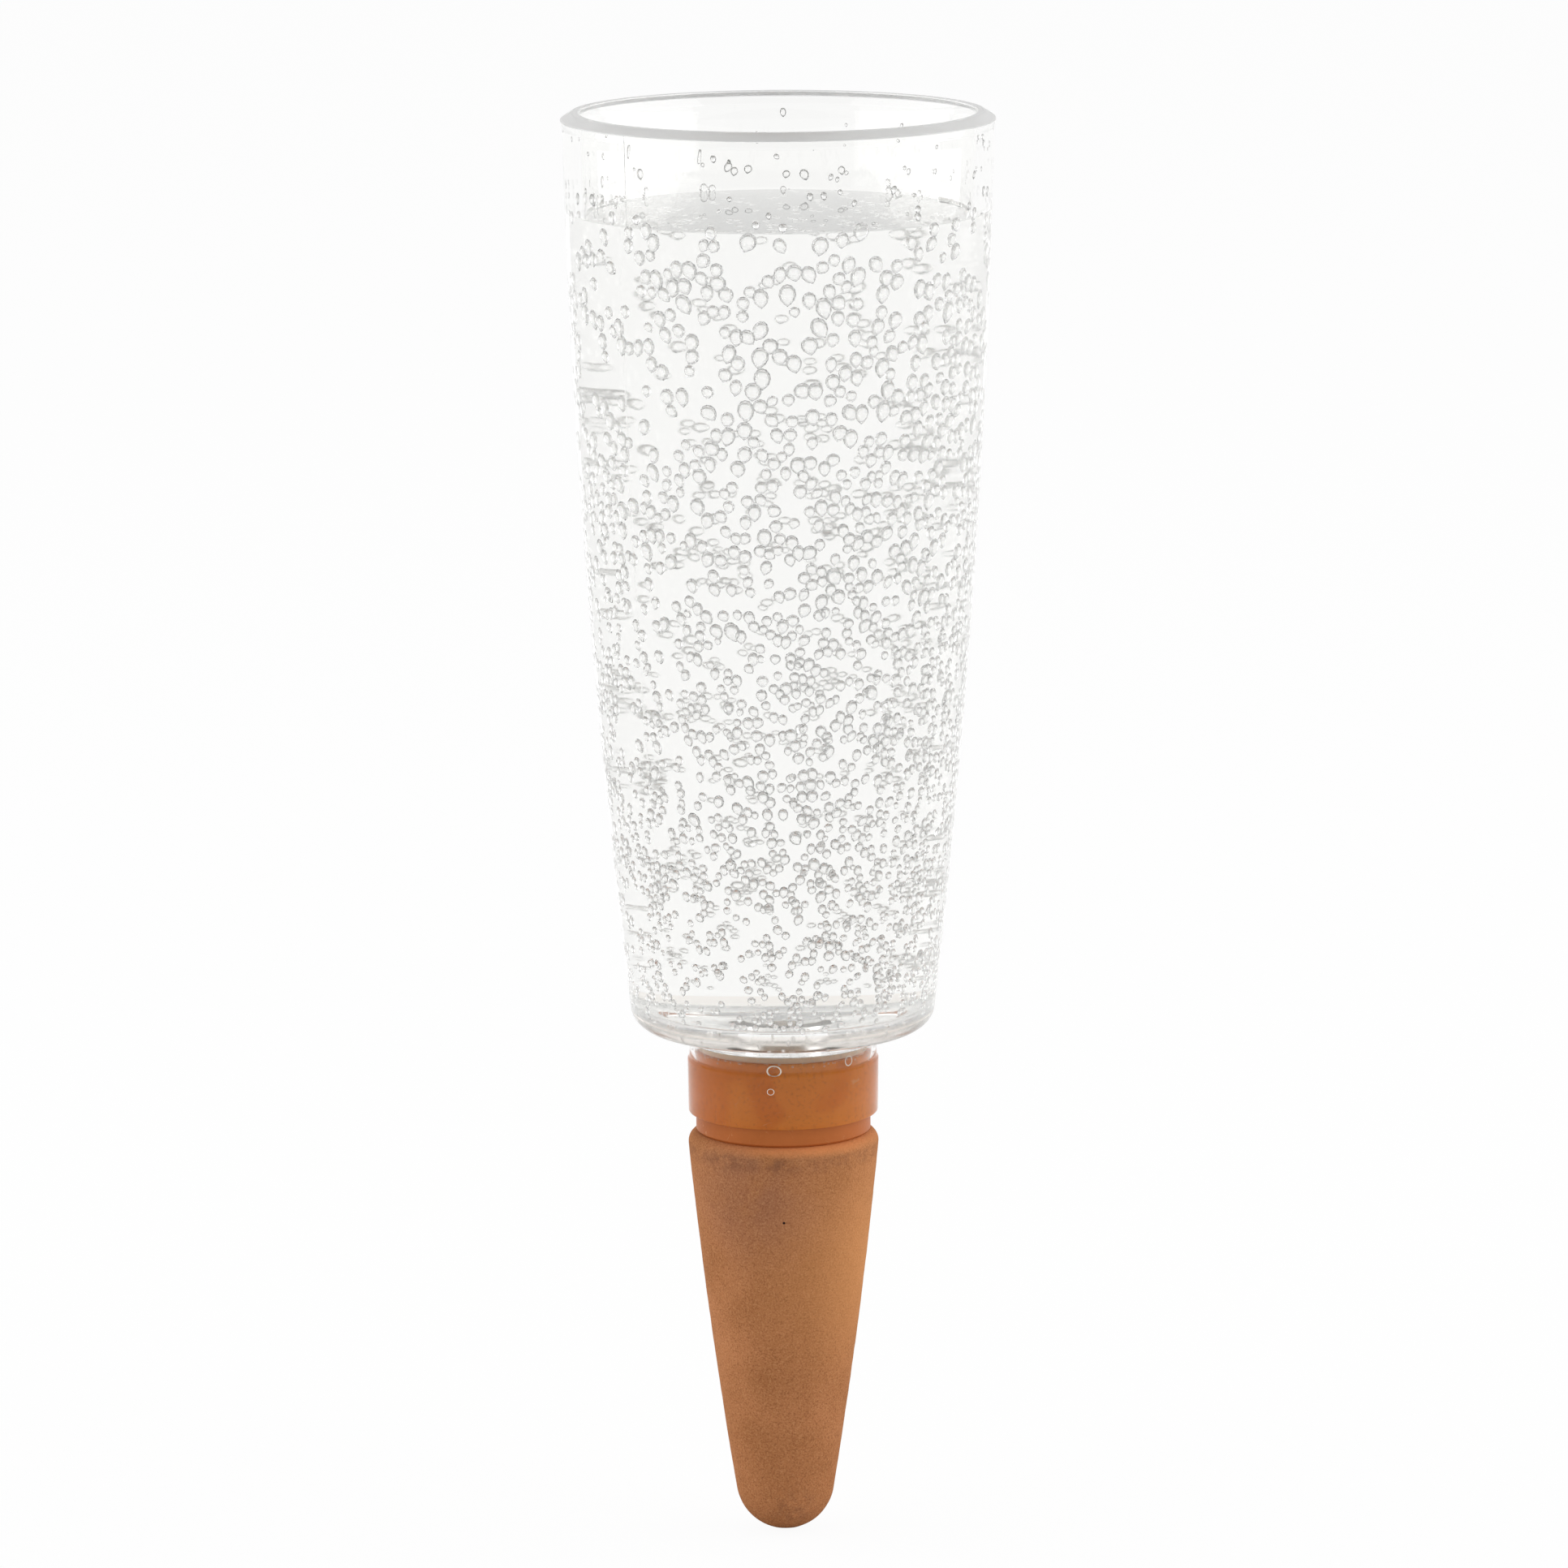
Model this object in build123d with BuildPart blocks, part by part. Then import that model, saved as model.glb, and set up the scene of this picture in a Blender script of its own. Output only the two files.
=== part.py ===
from build123d import *
import os

# Self watering spike, in millimetres: a clear cup screws onto an orange adapter that is cemented into a clay cone.
# +Z is up. The origin is on the axis at the top face of the clay cone, which is the soil line.

# Clay cone: its sharp top corner, the round tip and the slope at which the side runs into that tip
cone_length = 82.2
cone_top_radius = 19.25
cone_shoulder_radius = 2.4
cone_tip_radius = 9.9
cone_tip_slope = 9.2
cone_wall = 5.4
socket_radius = 14.0
socket_depth = 14.0

# Adapter: smooth outer skin, threaded tube inside it and ribs that join the two
adapter_radius = 17.35
adapter_height = 16.9
adapter_bare_height = 3.9
adapter_skin = 2.0
adapter_top_plate = 2.0
adapter_edge = 0.5
tube_wall = 2.2
rib_count = 6
rib_thickness = 1.6

# Cement round the ribbed spigot in the socket
spigot_end_gap = 0.5
rib_socket_gap = 0.3
cement_film = 0.05
cement_end_gap = 0.5

# Seal washer on top of the adapter
washer_thickness = 1.5
washer_edge_gap = 1.0

# Reservoir cup with its rim bead and base
cup_height = 182.0
cup_top_radius = 42.05
cup_base_radius = 29.7
cup_bow = 2.2
cup_wall = 3.5
cup_floor = 4.0
base_edge_radius = 4.8
floor_edge_radius = 4.0
bead_overhang = 0.45
bead_height = 3.15
bead_bevel_width = 2.2
bead_bevel_height = 1.85
rim_inner_edge = 0.4

# Reservoir neck: the sleeve that slips over the adapter and the narrower root above it
ceiling_plate = 2.65
neck_root_height = 6.0
sleeve_wall = 1.48
sleeve_step = 0.38
sleeve_draft = 0.12
sleeve_edge = 0.3
sleeve_clearance = 0.15

# Outlet through the floor and the threaded nose that carries it down into the adapter
outlet_radius = 6.0
nose_wall = 2.0
nose_length = 11.4
nose_edge = 0.6
thread_depth = 0.9
thread_clearance = 0.25

# Radii and heights that follow from the sizes above
tip_centre_z = cone_tip_radius - cone_length
nose_radius = outlet_radius + nose_wall
tube_bore_radius = nose_radius + thread_depth + thread_clearance
tube_radius = tube_bore_radius + tube_wall
pocket_radius = adapter_radius - adapter_skin
pocket_depth = adapter_height - adapter_top_plate
spigot_length = socket_depth - spigot_end_gap
spigot_rib_radius = socket_radius - rib_socket_gap
cement_length = spigot_length - 2 * cement_end_gap
ceiling_z = adapter_height + washer_thickness
base_z = ceiling_z + ceiling_plate
floor_z = base_z + cup_floor
rim_z = base_z + cup_height
bead_radius = cup_top_radius + bead_overhang
bead_underside_z = rim_z - bead_height
bead_edge_z = rim_z - bead_bevel_height
sleeve_end_z = adapter_bare_height
sleeve_top_z = base_z - neck_root_height
sleeve_bore_radius = adapter_radius + sleeve_clearance
sleeve_radius = sleeve_bore_radius + sleeve_wall
neck_radius = sleeve_radius - sleeve_step
nose_end_z = ceiling_z - nose_length

os.makedirs("parts", exist_ok=True)


def cone_section(inset):
    """Half of the cone's section, set in by a wall."""
    with BuildSketch(Plane.XZ) as section:
        with BuildLine():
            dome = CenterArc((0, tip_centre_z), cone_tip_radius - inset, -90, 90 - cone_tip_slope)
            side = TangentArc(dome @ 1, (cone_top_radius - inset, 0), tangent=dome % 1)
            Polyline(side @ 1, (0, 0), dome @ 0)
        make_face()
    return section.sketch


def cup_section(inset, bottom_z, top_z):
    """Half of the cup's section, set in by a wall, between two heights."""
    with BuildSketch(Plane.XZ) as section:
        with BuildLine():
            wall = SagittaArc((cup_base_radius - inset, bottom_z), (cup_top_radius - inset, top_z), -cup_bow)
            Polyline(wall @ 1, (0, top_z), (0, bottom_z), wall @ 0)
        make_face()
    return section.sketch


# Clay cone: solid of revolution, hollowed to an even wall, with a socket for the adapter's spigot
with BuildPart() as clay_cone:
    revolve(cone_section(0), axis=Axis.Z)
    fillet(clay_cone.faces().sort_by(Axis.Z)[-1].edges(), cone_shoulder_radius)
    revolve(cone_section(cone_wall), axis=Axis.Z, mode=Mode.SUBTRACT)
    with Locations(Plane.XY):
        Hole(socket_radius, depth=socket_depth)
clay_cone.part.label = "clay_cone"
export_step(clay_cone.part, "parts/clay_cone.step")

# Adapter: skin and top plate, then the tube that runs down as the spigot, then the ribs and the bore
with BuildPart() as cone_adapter:
    with BuildSketch(Plane.XY):
        Circle(adapter_radius)
    extrude(amount=adapter_height)
    chamfer(cone_adapter.edges().group_by(Axis.Z)[0], adapter_edge)
    fillet(cone_adapter.edges().group_by(Axis.Z)[-1], adapter_edge)
    with BuildSketch(Plane.XY):
        Circle(pocket_radius)
    extrude(amount=pocket_depth, mode=Mode.SUBTRACT)
    with BuildSketch(Plane.XY.offset(-spigot_length)):
        Circle(tube_radius)
    extrude(amount=spigot_length + pocket_depth)
    with BuildSketch(Plane.XY):
        with PolarLocations(0, rib_count):
            Rectangle(pocket_radius, rib_thickness, align=(Align.MIN, Align.CENTER))
    extrude(amount=pocket_depth)
    with BuildSketch(Plane.XY.offset(-spigot_length)):
        with PolarLocations(0, rib_count):
            Rectangle(spigot_rib_radius, rib_thickness, align=(Align.MIN, Align.CENTER))
    extrude(amount=spigot_length)
    with Locations(Plane.XY.offset(adapter_height)):
        Hole(tube_bore_radius)
cone_adapter.part.label = "cone_adapter"
export_step(cone_adapter.part, "parts/cone_adapter.step")

# Cement: a ring between spigot and socket, keyed by the ribs that stand in it
with BuildPart() as adhesive_ring:
    with BuildSketch(Plane.XY.offset(cement_end_gap - spigot_length)):
        Circle(socket_radius - cement_film)
        Circle(tube_radius + cement_film, mode=Mode.SUBTRACT)
    extrude(amount=cement_length)
    with BuildSketch(Plane.XY.offset(cement_end_gap - spigot_length)):
        with PolarLocations(0, rib_count):
            Rectangle(
                spigot_rib_radius + cement_film,
                rib_thickness + 2 * cement_film,
                align=(Align.MIN, Align.CENTER),
            )
    extrude(amount=cement_length, mode=Mode.SUBTRACT)
adhesive_ring.part.label = "adhesive_ring"
export_step(adhesive_ring.part, "parts/adhesive_ring.step")

# Seal washer: flat ring between the adapter's top plate and the ceiling of the sleeve
with BuildPart() as seal_washer:
    with BuildSketch(Plane.XY.offset(adapter_height)):
        Circle(adapter_radius - washer_edge_gap)
        Circle(tube_bore_radius, mode=Mode.SUBTRACT)
    extrude(amount=washer_thickness)
seal_washer.part.label = "seal_washer"
export_step(seal_washer.part, "parts/seal_washer.step")

# Reservoir: bowed cup with a bevelled bead at the rim, then the neck with its sleeve and the outlet nose
with BuildPart() as reservoir:
    revolve(cup_section(0, base_z, bead_underside_z), axis=Axis.Z)
    fillet(reservoir.edges().group_by(Axis.Z)[0], base_edge_radius)
    with BuildSketch(Plane.XZ):
        with BuildLine():
            Polyline(
                (0, bead_underside_z),
                (cup_top_radius, bead_underside_z),
                (bead_radius, bead_edge_z),
                (bead_radius - bead_bevel_width, rim_z),
                (0, rim_z),
                close=True,
            )
        make_face()
    revolve(axis=Axis.Z)
    with BuildSketch(Plane.XZ):
        with BuildLine():
            Polyline(
                (0, base_z),
                (neck_radius, base_z),
                (neck_radius, sleeve_top_z),
                (sleeve_radius, sleeve_top_z - sleeve_step),
                (sleeve_radius - sleeve_draft, sleeve_end_z),
                (0, sleeve_end_z),
                close=True,
            )
        make_face()
    revolve(axis=Axis.Z)
    fillet(reservoir.edges().group_by(Axis.Z)[0], sleeve_edge)
    revolve(cup_section(cup_wall, floor_z, rim_z), axis=Axis.Z, mode=Mode.SUBTRACT)
    fillet(reservoir.faces().filter_by(Plane.XY).sort_by(Axis.Z)[-2].edges(), floor_edge_radius)
    chamfer(reservoir.edges().group_by(Axis.Z)[-1].sort_by(SortBy.RADIUS)[0], rim_inner_edge)
    with BuildSketch(Plane.XY.offset(sleeve_end_z)):
        Circle(sleeve_bore_radius)
    extrude(amount=ceiling_z - sleeve_end_z, mode=Mode.SUBTRACT)
    with BuildSketch(Plane.XY.offset(ceiling_z)):
        Circle(nose_radius)
    extrude(amount=-nose_length)
    chamfer(reservoir.edges().filter_by_position(Axis.Z, nose_end_z, nose_end_z), nose_edge)
    with Locations(Plane.XY.offset(floor_z)):
        Hole(outlet_radius)
reservoir.part.label = "reservoir"
export_step(reservoir.part, "parts/reservoir.step")
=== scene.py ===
"""Self watering spike: a clear cup with air bubbles in its wall, on an orange adapter and a clay cone."""

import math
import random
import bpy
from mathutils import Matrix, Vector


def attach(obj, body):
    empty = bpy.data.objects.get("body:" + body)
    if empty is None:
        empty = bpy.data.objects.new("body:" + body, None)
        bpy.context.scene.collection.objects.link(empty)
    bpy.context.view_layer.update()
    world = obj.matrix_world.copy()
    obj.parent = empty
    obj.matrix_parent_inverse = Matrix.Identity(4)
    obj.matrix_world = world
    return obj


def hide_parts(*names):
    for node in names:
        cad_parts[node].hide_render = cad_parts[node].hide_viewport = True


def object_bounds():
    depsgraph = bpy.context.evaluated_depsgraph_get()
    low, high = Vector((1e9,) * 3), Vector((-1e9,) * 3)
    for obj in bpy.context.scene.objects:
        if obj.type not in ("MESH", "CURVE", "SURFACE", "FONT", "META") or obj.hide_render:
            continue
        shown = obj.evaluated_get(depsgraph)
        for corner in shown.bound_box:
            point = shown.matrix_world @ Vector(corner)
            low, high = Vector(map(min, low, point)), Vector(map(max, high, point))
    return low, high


bl_info = {
    "name": "Self watering spike",
    "version": (1, 0, 0),
    "blender": (4, 5, 0),
    "location": "View3D > Sidebar > Spike",
    "description": "Dresses the packed watering spike with its clear cup, water, clay and studio",
    "category": "Object",
}

from collections import namedtuple

import bmesh
import bpy
from mathutils import Matrix, Vector, noise

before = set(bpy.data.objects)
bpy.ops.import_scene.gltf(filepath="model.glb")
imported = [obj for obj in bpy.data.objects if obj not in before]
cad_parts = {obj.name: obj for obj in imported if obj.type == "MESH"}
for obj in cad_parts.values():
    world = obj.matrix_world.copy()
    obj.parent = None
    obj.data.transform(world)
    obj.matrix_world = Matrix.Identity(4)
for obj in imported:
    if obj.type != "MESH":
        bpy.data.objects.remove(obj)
CAD_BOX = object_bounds()

MM = 0.001

# Section of the reservoir in millimetres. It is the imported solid's, but the rim's bevel is 0.45 shallower,
# and the ceiling of the sleeve is 0.06 higher, so that it doesn't share the washer's face.
RIM_Z = 203.05
RIM_FLAT_RADIUS = 40.3
BEAD_RADIUS = 42.5
BEAD_EDGE_Z = 201.65
BEAD_UNDERSIDE_Z = 199.9
CUP_TOP_RADIUS = 42.05
CUP_BASE_RADIUS = 29.7
CUP_BOW = 2.2
CUP_WALL = 3.5
BASE_Z = 21.05
BASE_EDGE_RADIUS = 4.8
FLOOR_Z = 25.05
NECK_RADIUS = 18.6
NECK_FOOT_Z = 15.05
SLEEVE_RADIUS = 18.98
SLEEVE_TOP_Z = 14.67
SLEEVE_FOOT_RADIUS = 18.86
SLEEVE_END_Z = 3.9
SLEEVE_BORE = 17.5
CEILING_Z = 18.46
NOSE_RADIUS = 8.0
NOSE_END_Z = 7.0
NOSE_EDGE = 0.6
OUTLET_RADIUS = 6.0

# Section of the clay cone in millimetres
CONE_LENGTH = 82.2
CONE_TOP_RADIUS = 19.25
CONE_SHOULDER = 2.4
CONE_TIP_RADIUS = 9.9
CONE_TIP_SLOPE = 9.2
CONE_WALL = 5.4
CONE_TOP_SLOPE = 5.42
CONE_SIDE_BOW = 0.571
SOCKET_RADIUS = 14.0
SOCKET_DEPTH = 14.0
CAVITY_TOP_RADIUS = 12.42
CAVITY_SIDE_BOW = 0.387

# Uneven skin of the clay: depths and fade in millimetres, waves per millimetre
WIDE_DENT = 0.05
SMALL_DENT = 0.035
DEEPEST_DENT = 0.085
WIDE_WAVE = 0.11
SMALL_WAVE = 0.55
DENT_FADE = 1.5

# Screw thread in the bore of the adapter's tube, in millimetres
TUBE_BORE = 9.15
THREAD_PITCH = 4.0
THREAD_TURNS = 1.9
THREAD_START_Z = 6.0
THREAD_ROOT = TUBE_BORE + 0.05
THREAD_CREST = TUBE_BORE - 0.75
THREAD_ROOT_HALF = 0.8
THREAD_CREST_HALF = 0.35
THREAD_STEPS = 48

# Water in the cup, in millimetres
MENISCUS_RISE = 0.4
MENISCUS_WIDTH = 1.2
MENISCUS_BOW = -0.14
MENISCUS_LIP_WIDTH = 0.08
MENISCUS_LIP_HEIGHT = 0.05
WATER_GAP = 0.04
WATER_END_Z = 18.4

# Roundings of edges: radius in millimetres and number of segments
CRISP_EDGE = (0.2, 2)
SOFT_EDGE = (0.4, 3)
RIM_INNER_EDGE = (0.4, 3)
RIM_FLAT_EDGE = (0.25, 3)
BEAD_EDGE = (0.4, 4)
BEAD_ROOT = (0.3, 3)
BASE_EDGE = (BASE_EDGE_RADIUS, 10)
FLOOR_EDGE = (4.0, 8)
SLEEVE_END_EDGE = (0.5, 4)
NOSE_ROOT = (0.3, 2)
SOCKET_EDGE = (0.3, 2)

# How strongly the clear things bend light, and where the mould's parting line is, in degrees from the right
PLASTIC_IOR = 1.49
WATER_IOR = 1.333
NO_BEND = 1.0
PARTING_ANGLE = -137.0

# Material slots of the reservoir and of the water
DRY, WET, SLEEVE, RIM, BORE, BASE, NOSE = range(7)
SURFACE, AT_WALL, AT_NOSE = range(3)

# Colours of the clear things, and of marks on the adapter and the clay
CLEAR = (1.0, 1.0, 1.0)
WHITE = (1.0, 1.0, 1.0, 1.0)
WATER_TINT = (0.97, 0.98, 0.985)
# Painted shade and painted reflection: the cup's base is tinted darker and warmer, standing in for shade and
# orange light seen through it
BASE_PAINTED_WARM_SHADE = (0.88, 0.83, 0.775)
# Painted light: the pale matt skin of the outlet nose, in place of light reflected inside the clear plastic
NOSE_PAINTED_LIGHT = (0.96, 0.93, 0.88)
# Painted reflection: the peach of the water's end over the nose, standing in for the orange adapter seen in
# it
WATER_END_PAINTED_REFLECTION = (0.95, 0.74, 0.55)
# Painted highlight: the pale ring of the neck's bubbles, standing in for the bright rim they reflect
NECK_BUBBLE_PAINTED_HIGHLIGHT = (1.0, 0.94, 0.84)
# Painted highlight: the pale rings of the sleeve's bubbles
SLEEVE_BUBBLE_PAINTED_HIGHLIGHT = (0.9, 0.79, 0.67)
# Wet orange under the sleeve, with painted light: about twice as bright as the adapter, standing in for
# light lost through the sleeve
PAINTED_LIGHT_WET_ORANGE_DEEP = (0.8, 0.205, 0.02, 1.0)
PAINTED_LIGHT_WET_ORANGE_LIGHT = (1.0, 0.35, 0.05, 1.0)
SCRATCHED_ORANGE = (0.9, 0.55, 0.3, 1.0)
# Painted light: the pale cream inside the adapter's bore and on its thread, standing in for light that the
# dark tube lacks
BORE_PAINTED_LIGHT = (0.94, 0.82, 0.68, 1.0)
DRY_CLAY = (0.31, 0.13, 0.067, 1.0)
PALE_SAND = (0.66, 0.36, 0.17, 1.0)
DARK_PORE = (0.15, 0.052, 0.02, 1.0)
# Painted light: the lighter clay of the lit right side
SUNNY_CLAY = (0.64, 0.29, 0.105, 1.0)
# Painted light: the lighter clay of the crest, where light from above would brighten it
PAINTED_LIGHT_CLAY = (0.78, 0.29, 0.105, 1.0)
DARK_SMUDGE = (0.14, 0.06, 0.036, 1.0)
BLACK_SPECK = (0.012, 0.007, 0.006, 1.0)

# Marks on the clay, and its patches of painted light: middle and radius in millimetres
DRY_PATCH = ((-6.0, -15.5, -10.0), 21.0)
SUNNY_SIDE = ((19.0, -7.0, -26.0), 32.0)
PAINTED_LIGHT_CREST = ((7.0, -17.0, 0.0), 30.0)
LEFT_SMUDGE = ((-12.1, -14.8, -2.9), 4.6)
MIDDLE_SMUDGE = ((-0.8, -19.0, -3.5), 3.6)
TIP_SMUDGE = ((1.5, -8.0, -76.0), 7.0)
SPECK = ((0.0, -17.5, -15.1), 0.5)

# Studio, in metres and degrees
FLOOR_HALF = 6.0
FLOOR_GLOW = 0.94
# Painted shade: a darker pool on the floor round the object, seen only through the clear parts and in
# reflections
POOL_INNER = 0.09
POOL_OUTER = 0.38
POOL_SHADE = 0.65
LAMP_SIZE = 2.2
LAMP_AIM = (0.0, 0.0, 0.06)
LEFT_LAMP = (-1.4, -0.15, 0.45)
RIGHT_LAMP = (1.4, -0.1, 0.45)
RIGHT_LAMP_SHARE = 1.19
CAMERA_PLACE = (0.00048, -1.56, 0.36505)
CAMERA_DIP = 10.718
CAMERA_ROLL = -0.31

# Steps round a full turn and along the bowed walls
TURN_STEPS = 192
OUTER_WALL_STEPS = 28
INNER_WALL_STEPS = 30


class Section:
    """A chain of edges in the XZ plane, drawn point by point, then rounded and spun round Z."""

    def __init__(self, bm, radius, height):
        self.bm = bm
        self.tip = bm.verts.new((radius, 0, height))
        self.first = self.tip
        self.rounds = []

    def line(self, radius, height, rounding=0.0, segments=4):
        """A straight edge to the point, whose corner may be rounded later."""
        self.tip = bmesh.ops.extrude_vert_indiv(self.bm, verts=[self.tip])["verts"][0]
        self.tip.co = (radius, 0, height)
        self.corner(rounding, segments)

    def arc(self, centre_radius, centre_height, angle, steps):
        """An arc about a centre, clockwise where the angle is positive."""
        got = bmesh.ops.spin(
            self.bm,
            geom=[self.tip],
            cent=(centre_radius, 0, centre_height),
            axis=(0, 1, 0),
            angle=angle,
            steps=steps,
        )
        self.tip = next(g for g in got["geom_last"] if isinstance(g, bmesh.types.BMVert))

    def bow(self, radius, height, bulge, steps, rounding=0.0, segments=4):
        """A shallow arc to the point, bulging to the left of the way where bulge is positive."""
        start = self.tip.co.copy()
        end = Vector((radius, 0, height))
        chord = end - start
        left = Vector((-chord.z, 0, chord.x)).normalized()
        half = chord.length / 2
        reach = (half**2 + bulge**2) / (2 * abs(bulge))
        side = math.copysign(1, bulge)
        centre = (start + end) / 2 - left * (side * (reach - abs(bulge)))
        self.arc(centre.x, centre.z, side * 2 * math.asin(half / reach), steps)
        self.tip.co = end
        self.corner(rounding, segments)

    def corner(self, rounding, segments):
        """Notes the last point for rounding."""
        if rounding:
            self.rounds.append((self.tip, rounding, segments))

    def close(self):
        """Joins the last point to the first."""
        self.bm.edges.new((self.tip, self.first))

    def spin(self, steps=TURN_STEPS):
        """Rounds the noted corners and turns the chain into a surface."""
        for vert, rounding, segments in self.rounds:
            ways = [(edge.other_vert(vert).co - vert.co) for edge in vert.link_edges]
            offset = rounding / math.tan(ways[0].angle(ways[1]) / 2)
            bmesh.ops.bevel(
                self.bm,
                geom=[vert],
                offset=offset,
                offset_type="OFFSET",
                segments=segments,
                profile=0.5,
                affect="VERTICES",
                material=-1,
            )
        bmesh.ops.spin(
            self.bm,
            geom=self.bm.verts[:] + self.bm.edges[:],
            cent=(0, 0, 0),
            axis=(0, 0, 1),
            angle=2 * math.pi,
            steps=steps,
            use_merge=True,
        )
        bmesh.ops.remove_doubles(self.bm, verts=self.bm.verts, dist=1e-5)
        bmesh.ops.recalc_face_normals(self.bm, faces=self.bm.faces)


def sharpen(bm, degrees=28):
    """Smooth faces, with an edge left sharp where two faces meet at more than an angle."""
    for face in bm.faces:
        face.smooth = True
    for edge in bm.edges:
        if len(edge.link_faces) == 2 and edge.calc_face_angle() > math.radians(degrees):
            edge.smooth = False


def finish_piece(bm, name, materials, body, replaced=None):
    """Turns a bmesh in millimetres into a piece that rides on a body."""
    bmesh.ops.scale(bm, vec=(MM, MM, MM), verts=bm.verts)
    mesh = bpy.data.meshes.new(name)
    bm.to_mesh(mesh)
    bm.free()
    for material in materials:
        mesh.materials.append(material)
    piece = bpy.data.objects.new(name, mesh)
    bpy.context.scene.collection.objects.link(piece)
    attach(piece, body)
    if replaced:
        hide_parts(replaced)


def bowed_radius(height, base_radius, base_z, top_radius, top_z):
    """Radius and slope of the bowed cup wall at a height."""
    rise = top_z - base_z
    run = top_radius - base_radius
    half = math.hypot(rise, run) / 2
    reach = (half**2 + CUP_BOW**2) / (2 * CUP_BOW)
    inset = reach - CUP_BOW
    centre_r = (base_radius + top_radius) / 2 - inset * rise / (2 * half)
    centre_z = (base_z + top_z) / 2 + inset * run / (2 * half)
    across = math.sqrt(reach**2 - (height - centre_z) ** 2)
    return centre_r + across, (centre_z - height) / across


def outer_wall(height):
    """Radius and slope of the cup's outer wall."""
    return bowed_radius(height, CUP_BASE_RADIUS, BASE_Z, CUP_TOP_RADIUS, BEAD_UNDERSIDE_Z)


def inner_wall(height):
    """Radius and slope of the cup's inner wall."""
    return bowed_radius(height, CUP_BASE_RADIUS - CUP_WALL, FLOOR_Z, CUP_TOP_RADIUS - CUP_WALL, RIM_Z)


class Value:
    """A socket of a node tree. Arithmetic on it adds Math nodes."""

    def __init__(self, shade, socket):
        self.shade = shade
        self.socket = socket

    def __add__(self, other):
        return self.shade.math("ADD", self, other)

    def __sub__(self, other):
        return self.shade.math("SUBTRACT", self, other)

    def __rsub__(self, other):
        return self.shade.math("SUBTRACT", other, self)

    def __mul__(self, other):
        return self.shade.math("MULTIPLY", self, other)

    __radd__ = __add__
    __rmul__ = __mul__


class Shade:
    """Builds one node tree."""

    def __init__(self, tree):
        self.tree = tree
        tree.nodes.clear()

    def node(self, kind, settings=None, sockets=None):
        """A node of a type, with its settings set first and then its sockets' values or links."""
        node = self.tree.nodes.new(kind)
        for name, value in (settings or {}).items():
            setattr(node, name, value)
        for key, value in (sockets or {}).items():
            if isinstance(value, Value):
                self.tree.links.new(value.socket, node.inputs[key])
            else:
                node.inputs[key].default_value = value
        return node

    def value(self, kind, settings=None, sockets=None, output=0):
        """The same, as a value to compute with."""
        return Value(self, self.node(kind, settings, sockets).outputs[output])

    def math(self, operation, first, second):
        """A Math node of two values."""
        return self.value("ShaderNodeMath", {"operation": operation}, {0: first, 1: second})

    def place(self):
        """The point in the piece's own frame, in metres."""
        return self.value("ShaderNodeTexCoord", output="Object")

    def axis(self, place, letter):
        """One coordinate of a point."""
        return self.value("ShaderNodeSeparateXYZ", sockets={0: place}, output=letter)

    def step(self, value, low, high):
        """Runs smoothly from 0 to 1 as the value goes from low to high."""
        return self.value(
            "ShaderNodeMapRange",
            {"interpolation_type": "SMOOTHSTEP", "clamp": True},
            {"Value": value, "From Min": low, "From Max": high, "To Min": 0.0, "To Max": 1.0},
        )

    def grain(self, place, size, detail=2.0, roughness=0.5, distortion=0.0):
        """Noise whose features are about a size across, in metres."""
        return self.value(
            "ShaderNodeTexNoise",
            {"noise_dimensions": "3D"},
            {
                "Vector": place,
                "Scale": 1 / size,
                "Detail": detail,
                "Roughness": roughness,
                "Distortion": distortion,
            },
        )

    def reach(self, place):
        """How far a point is from the Z axis."""
        flat = self.value("ShaderNodeVectorMath", {"operation": "MULTIPLY"}, {0: place, 1: (1, 1, 0)})
        return self.value("ShaderNodeVectorMath", {"operation": "LENGTH"}, {0: flat}, output="Value")

    def near(self, place, point, radius):
        """1 at a point in millimetres and 0 a radius away from it."""
        gap = self.value(
            "ShaderNodeVectorMath",
            {"operation": "DISTANCE"},
            {0: place, 1: [c * MM for c in point]},
            output="Value",
        )
        return 1 - self.step(gap, 0.0, radius * MM)

    def blend(self, factor, first, second):
        """Mixes two colours."""
        return self.value(
            "ShaderNodeMix",
            {"data_type": "RGBA", "blend_type": "MIX"},
            {0: factor, 6: first, 7: second},
            output=2,
        )

    def bump(self, height, distance, strength=1.0):
        """A normal from a height of 0 to 1 that stands for a distance in metres."""
        return self.value(
            "ShaderNodeBump",
            sockets={"Height": height, "Distance": distance, "Strength": strength},
        )

    def surface(self, sockets):
        """A Principled shader."""
        return self.value("ShaderNodeBsdfPrincipled", sockets=sockets)

    def mix(self, factor, first, second):
        """Mixes two shaders."""
        return self.value("ShaderNodeMixShader", sockets={0: factor, 1: first, 2: second})

    def output(self, shader):
        """Sends a shader to the material output."""
        self.node("ShaderNodeOutputMaterial", sockets={"Surface": shader})


def new_material(name):
    """An empty material and the builder of its nodes."""
    material = bpy.data.materials.new(name)
    material.use_nodes = True
    return material, Shade(material.node_tree)


def rgba(colour):
    """A property's colour with an alpha of one."""
    return (*colour, 1.0)


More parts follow.
